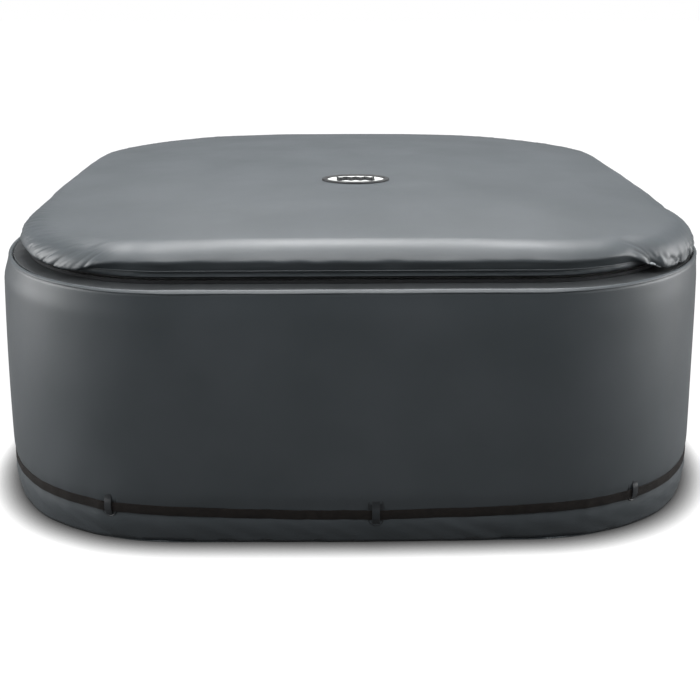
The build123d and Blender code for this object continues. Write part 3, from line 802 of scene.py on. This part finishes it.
def lid_form(inset=0.0):
    """Rows of the lid's form from the seam up over the roll to the crown, drawn in by inset."""
    edge_half, edge_z = EDGE_HALF + edge_out, EDGE_Z - edge_drop
    turn_half = (seam_half + edge_half) / 2
    turn_z = (seam_z + edge_z) / 2 - 0.45 * np.maximum(edge_drop, 0)
    rows = []
    for t in np.linspace(0, 1, TURN_ROWS, endpoint=False):
        a, b, c = (1 - t) ** 2, 2 * t * (1 - t), t * t
        rows.append(lid.ring(a * seam_half + b * turn_half + c * edge_half,
                             a * seam_z + b * turn_z + c * edge_z))
    shoulder_half = edge_half - roll_width * (np.sin(edge_tilt) - math.sin(CROWN_TILT))
    top = crown(lid.ring(shoulder_half, 0)[:, :2]) - top_droop
    for share in np.linspace(0, 1, 36):
        tilt = edge_tilt + (CROWN_TILT - edge_tilt) * share
        rise = (np.cos(tilt) - np.cos(edge_tilt)) / (math.cos(CROWN_TILT) - np.cos(edge_tilt))
        half = edge_half - roll_width * (np.sin(edge_tilt) - np.sin(tilt))
        rows.append(lid.ring(half, edge_z + (top - edge_z) * rise))
    for share in np.linspace(0, 1, 46)[1:]:
        ring = lid.ring(shoulder_half + (FADE_HALF - shoulder_half) * share, 0)
        ring[:, 2] = crown(ring[:, :2]) - top_droop * (1 - smooth_step(share, 0, 1))
        rows.append(ring)
    rows = np.array(rows)
    for _ in range(4):
        rows[2:-2] = (rows[1:-3] + 2 * rows[2:-2] + rows[3:-1]) / 4
    return rows - normals_of(rows) * inset


def middle_rows(ring, drop=0.0):
    """Rings that close the middle of the lid inside a ring, drop below the crown."""
    rows = []
    for scale in MIDDLE_SCALES:
        row = ring * [scale, scale, 1]
        row[:, 2] = crown(row[:, :2]) - drop
        rows.append(row)
    return np.array(rows)


def gathers(inward, seed, cell, reach, slant):
    """Relief of gathers: rounded ridges with narrow valleys that start and stop at random."""
    wander = 0.25 * cell * patchy(lid.distance[None], inward, seed + 1, 4 * cell, reach, lid.length)
    around = lid.distance[None] + slant * inward + wander
    field = patchy(around, inward, seed, cell, reach, lid.length)
    field += 0.45 * patchy(around, inward, seed + 2, cell * 0.47, reach * 0.6, lid.length)
    return np.sqrt(field ** 2 + 0.004) - 0.5


def fold_relief(rows):
    """Height of the creases and swells over the lid's form, negative where they sink in."""
    steps = np.linalg.norm(np.diff(rows, axis=0), axis=2)
    inward = np.concatenate([np.zeros((1, lid.count)), np.cumsum(steps, axis=0)])
    start = smooth_step(inward, 0.001, 0.012)
    slant = np.where(lid.distance[None] > lid.length / 2, -1.1, -0.35)
    fine = (1 - smooth_step(inward, 0.035, 0.105)) * gathers(inward, 71, 0.013, 0.045, slant) * 0.0017
    broad = (1 - smooth_step(inward, 0.07, 0.18)) * gathers(inward, 81, 0.03, 0.08, slant) * 0.0015
    crumpled = (1 - smooth_step(inward, 0.05, 0.095)) * gathers(inward, 91, 0.024, 0.026, 0.0) * 0.006
    relief = start * (gathered * (fine + broad) + puffed * crumpled)
    for around, up_roll, half_width, half_height, depth in POCKETS:
        along = lid.distance[None] - around + slant * (inward - up_roll)
        relief -= depth * np.exp(-(along / half_width) ** 2 - ((inward - up_roll) / half_height) ** 2)
    on_roll = bump_at(inward, 0.055, 0.035)
    relief += on_roll * soft_waves(lid.phase, 51, range(3, 26, 2), 0.001)
    low_swells = patchy(lid.distance[None], inward, 55, 0.045, 0.02, lid.length)
    relief += bump_at(inward, 0.02, 0.012) * low_swells * 0.0012
    x, y = rows[:, :, 0], rows[:, :, 1]
    dents = 0.0012 * np.sin(5.1 * x + 1.0) * np.sin(4.3 * y + 2.0) + 0.0008 * np.sin(9.7 * x + 3.7 * y)
    return relief + dents * smooth_step(inward, 0.08, 0.25)


form = lid_form()
surface = form + normals_of(form) * fold_relief(form)[:, :, None]


def lid_cushion():
    """The lid's cloth, closed underneath and flat where the badge rests."""
    under = [lid.ring(half, underside_high.z + 0.0006) for half in UNDERSIDE_HALVES]
    middle = middle_rows(surface[-1])
    middle[:, :, 2] += (surface[-1, :, 2] - crown(surface[-1, :, :2])) * MIDDLE_SCALES[:, None]
    low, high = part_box("badge_rim")
    away = np.hypot((middle[:, :, 0] - (low.x + high.x) / 2) / (high.x - low.x),
                    (middle[:, :, 1] - (low.y + high.y) / 2) / (high.y - low.y))
    middle[:, :, 2] += (low.z - 0.0002 - middle[:, :, 2]) * (1 - smooth_step(away, 0.52, 0.95))
    return lofted("lid_cushion", np.concatenate([under, surface, middle]), fabric, "dome")


cushion = place(lid_cushion(), "lid", "coated_fabric", "lid_top_panel")

# ---- what the lid holds ----
BLADDER_INSET = 0.009
WEB_COUNT = 8


def lid_bladder():
    """The vinyl bladder follows the cushion from inside."""
    inner = lid_form(BLADDER_INSET)[TURN_ROWS:]
    under = [lid.ring(half, underside_high.z + 0.0025) for half in (*UNDERSIDE_HALVES, 0.866)]
    rows = np.concatenate([under, inner, middle_rows(inner[-1], BLADDER_INSET)])
    return lofted("lid_bladder", rows, bladder_vinyl, "dome")


place(lid_bladder(), "lid", "bladder_film", "lid_air_bladder")


def bladder_webs():
    """Tie webs that hold the bladder's two faces together."""
    low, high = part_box("bladder_tie_webs")
    x = np.linspace(low.x, high.x, 60)
    webs = []
    for number in range(WEB_COUNT):
        y = low.y + SKIN / 2 + (high.y - low.y - SKIN) * number / (WEB_COUNT - 1)
        over = np.hypot(np.maximum(np.abs(x) - CORE, 0), max(abs(y) - CORE, 0))
        sink = 0.016 * smooth_step(over, FADE_HALF - CORE, EDGE_HALF - 0.08 - CORE)
        top = crown(np.column_stack([x, np.full_like(x, y)])) - sink - BLADDER_INSET - 0.004
        rows = [np.column_stack([x, np.full_like(x, y + side * SKIN / 2), low.z + (top - low.z) * t])
                for side, t in ((-1, 0), (-1, 0.5), (-1, 1), (1, 1), (1, 0.5), (1, 0))]
        webs.append(lofted(f"web_{number}", rows, bladder_vinyl, "bar"))
    return joined("bladder_web_set", webs)


place(bladder_webs(), "lid", "bladder_film", "bladder_tie_webs")


# ---- gusset, welt and underside ----
WELT_RADIUS = 0.0016
PANEL_MIDDLE = 0.47       # half width inside which the foil panel's rings only scale down
PILLOW_DEPTH = 0.0045


def lid_gusset():
    """The side band hangs from the seam to the zip; at the corners its slack bellies out."""
    pucker = soft_waves(lid.phase, 61, range(30, 200, 11), 0.0014) * (0.35 + 0.65 * lid.corner)
    slack = 0.003 * lid.corner
    rows = []
    for t, depth in there_and_back(12):
        belly = math.sin(math.pi * t)
        half = (seam_half - 0.001) * (1 - t) + band_half * t + belly * (pucker - 0.001 + slack) - depth
        sag = 0.5 * slack * belly
        rows.append(lid.ring(half, seam_z - 0.0006 + (band_bottom - seam_z) * t - sag))
    return lofted("lid_gusset", rows, fabric_gusset_painted_light)


gusset = place(lid_gusset(), "lid", "coated_fabric", "lid_side_band")


def lid_welt():
    """Thin piping in the seam between the lid's top and its side band."""
    rows = [lid.ring(seam_half + 0.0006 + WELT_RADIUS * math.cos(angle),
                     seam_z - 0.0004 + WELT_RADIUS * math.sin(angle))
            for angle in np.arange(8) * math.pi / 4]
    return lofted("lid_welt", rows, fabric)


place(lid_welt(), "lid", "coated_fabric", "lid_seam_welt")


def lid_underside():
    """Foil panel under the bladder: it hangs in pillows between the tie webs."""
    web_low, web_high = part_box("bladder_tie_webs")
    pitch = (web_high.y - web_low.y) / (WEB_COUNT - 1)
    panel = underside_high.x - 0.001
    valve_low, valve_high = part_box("bladder_valve_body")
    valve_x, valve_y = (valve_low.x + valve_high.x) / 2, (valve_low.y + valve_high.y) / 2
    inwards = [lid.ring(half, 0) for half in np.linspace(panel, PANEL_MIDDLE, 50)]
    inwards += [lid.ring(PANEL_MIDDLE, 0) * scale for scale in np.linspace(1, 0, 32)[1:-1]]
    rows = np.array(inwards[::-1] + inwards)
    x, y = rows[:, :, 0], rows[:, :, 1]
    edge = panel - np.maximum(np.abs(x), np.abs(y))
    pillow = np.abs(np.sin(math.pi * (y - web_low.y) / pitch)) ** 0.6 * smooth_step(edge, 0.0, 0.06)
    pillow *= smooth_step(np.hypot(x - valve_x, y - valve_y), 0.018, 0.07)
    rows[:, :, 2] = underside_low.z - PILLOW_DEPTH * pillow
    rows[len(inwards):, :, 2] += FOIL_THICKNESS
    return lofted("lid_foil_panel", rows, foil_film, "dome")


panel_piece = place(lid_underside(), "lid", "foil_liner", "lid_underside_panel")

# ---- zip teeth ----
TOOTH_PITCH = 0.0025
COIL_WIDTH = 0.003
# A tooth's outline in plan, and its levels as (height, share of the outline), in shares of its size
TOOTH_RING = ((-1, 0), (-0.6, 0.8), (0.6, 0.8), (1, 0), (0.6, -0.8), (-0.6, -0.8))
TOOTH_LEVELS = ((-1, 0.7), (-0.4, 1.0), (0.5, 1.0), (1, 0.6))


def zip_teeth(name, node, body, up):
    """Coil drawn as a row of small rounded teeth along the edge of its tape."""
    low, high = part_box(node)
    reach = high.x - COIL_WIDTH / 2 - CORE
    length = 4 * (2 * CORE + reach * math.pi / 2)
    distance = np.arange(int(length / TOOTH_PITCH)) * TOOTH_PITCH
    core, out, along = round_the(reach, distance)
    at_rear = (out[:, 1] > 0.999999) & (np.abs(core[:, 0]) < CORE - 1e-6)
    core, out, along = core[~at_rear], out[~at_rear], along[~at_rear]
    flat = np.zeros((len(core), 1))
    centre = points_at(core, out, high.x - COIL_WIDTH / 2, (low.z + high.z) / 2)
    along, out = np.hstack([along, flat]), np.hstack([out, flat])
    size_a, size_b, size_c = TOOTH_PITCH * 0.36, COIL_WIDTH / 2, (high.z - low.z) / 2
    points = np.stack([centre + along * (a * size_a * shrink) + out * (b * size_b * shrink)
                       + [0, 0, up * level * size_c]
                       for level, shrink in TOOTH_LEVELS for a, b in TOOTH_RING], 1)
    sides, levels = len(TOOTH_RING), len(TOOTH_LEVELS)
    tooth = [[base + k, base + (k + 1) % sides, base + sides + (k + 1) % sides, base + sides + k]
             for base in range(0, (levels - 1) * sides, sides) for k in range(sides)]
    tooth += [list(range(sides))[::-1], [(levels - 1) * sides + k for k in range(sides)]]
    faces = [[i + n * sides * levels for i in face] for n in range(len(centre)) for face in tooth]
    return place(mesh_object(name, points.reshape(-1, 3), faces, coil_plastic), body, "zip_coil", node)


zip_teeth("zip_teeth_lower", "zip_coil_lower", "sleeve", 1)
zip_teeth("zip_teeth_upper", "zip_coil_upper", "lid", -1)


# ---- hinge fabric at the rear ----
def hinge_fabric():
    """Strip from the sleeve's ledge to the lid."""
    low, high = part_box("lid_hinge_band")
    y = (low.y + high.y) / 2
    x = np.linspace(low.x, high.x, 160)
    gather = 0.0006 * np.sin(x * 95 + 3 * np.sin(x * 9))
    rows = [np.column_stack([x, y + side * SKIN / 2 + gather, np.full_like(x, z)])
            for side in (1, -1) for z in np.linspace(ledge_top - 0.001, high.z, 14)[::side]]
    piece = lofted("lid_hinge_fabric", rows, fabric_gusset_painted_light, "bar")
    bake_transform(piece)
    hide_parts("lid_hinge_band")


hinge_fabric()

# ---- floor, light and camera ----
FLOOR = 30.0              # half side


def studio_floor():
    """White floor, grey to the object's own reflections; a painted soft shadow at the foot dims its glow for
    the camera.
    """
    m = Material("floor", (0.8, 0.8, 0.8), 0.7, Specular_IOR_Level=0.1)
    camera_ray = m.node("LightPath").outputs["Is Camera Ray"]
    m.links.new(mapped(m.tree, camera_ray, 0.0, 1.0, 0.12, 0.0), m.shader.inputs["Base Color"])
    # Painted shadow: ambient occlusion, raised to a power, darkens the floor's glow near the foot.
    painted_shadow_occlusion = m.node("AmbientOcclusion", Distance=0.075)
    painted_foot_shadow = calculated(m.tree, "POWER", painted_shadow_occlusion.outputs["AO"], 3.2)
    m.shader.inputs["Emission Color"].default_value = (1, 1, 1, 1)
    glow = m.product(painted_foot_shadow, mapped(m.tree, camera_ray, 0.0, 1.0, 0.0, 1.04))
    m.links.new(glow, m.shader.inputs["Emission Strength"])
    corners = [(-FLOOR, -FLOOR, 0), (FLOOR, -FLOOR, 0), (FLOOR, FLOOR, 0), (-FLOOR, FLOOR, 0)]
    floor = mesh_object("floor", corners, [(0, 1, 2, 3)], m.material)
    floor.location.z = cad_low.z - 0.0005


def looking(spot, aim):
    """Rotation of a light or camera at spot that looks at aim."""
    return (Vector(aim) - Vector(spot)).to_track_quat("-Z", "Y").to_euler()


def area_light(name, location, aim, size, power):
    data = bpy.data.lights.new(name, "AREA")
    data.shape = "RECTANGLE"
    data.size, data.size_y = size
    data.energy = power
    light = added(name, data)
    light.location = location
    light.rotation_euler = looking(location, aim)


def studio_world():
    """White surroundings, darker on the camera's side; the backdrop itself stays white."""
    world = bpy.data.worlds.new("studio")
    bpy.context.scene.world = world
    world.use_nodes = True
    tree = world.node_tree
    background = tree.nodes["Background"]
    background.inputs["Color"].default_value = (1, 1, 1, 1)
    direction = tree.nodes.new("ShaderNodeTexCoord")
    split = tree.nodes.new("ShaderNodeSeparateXYZ")
    tree.links.new(direction.outputs["Generated"], split.inputs["Vector"])
    glow = mapped(tree, split.outputs["Y"], -0.8, 0.4, 0.0, 0.394)
    camera_ray = tree.nodes.new("ShaderNodeLightPath").outputs["Is Camera Ray"]
    tree.links.new(calculated(tree, "MAXIMUM", glow, camera_ray), background.inputs["Strength"])


CAMERA_DISTANCE = 3.3118
CAMERA_ELEVATION = math.radians(17.63)
CAMERA_TURN = math.radians(0.84)
CAMERA_AIM = (0.0, 0.0, 0.35)
CAMERA_LENS = 51.2177
CAMERA_SHIFT = (0.002, -0.079714)


def studio_camera():
    """Long view from the front, a little from the left and above."""
    data = bpy.data.cameras.new("camera")
    data.sensor_width = 36.0
    data.lens = CAMERA_LENS
    data.shift_x, data.shift_y = CAMERA_SHIFT
    camera = added("camera", data)
    level = CAMERA_DISTANCE * math.cos(CAMERA_ELEVATION)
    camera.location = (-level * math.sin(CAMERA_TURN), -level * math.cos(CAMERA_TURN),
                       CAMERA_AIM[2] + CAMERA_DISTANCE * math.sin(CAMERA_ELEVATION))
    camera.rotation_euler = looking(camera.location, CAMERA_AIM)
    bpy.context.scene.camera = camera


studio_floor()
studio_world()
studio_camera()
for name, y, power in (("front", -2.4, 112), ("middle", -0.8, 59), ("rear", 0.8, 215)):
    area_light(f"overhead_{name}", (0, y, 3.2), (0, y, 0), (3.2, 1.6), power)
for name, side, front_power, side_power in (("left", -1, 30, 138), ("right", 1, 22, 145)):
    area_light(f"{name}_front", (side * 3.2, -2.4, 1.4), (side * 0.6, -0.4, 0.4), (2.0, 2.4), front_power)
    area_light(f"{name}_side", (side * 3.6, -0.6, 1.3), (side * 0.6, -0.3, 0.4), (2.2, 2.4), side_power)
bpy.context.scene.view_settings.view_transform = "Standard"
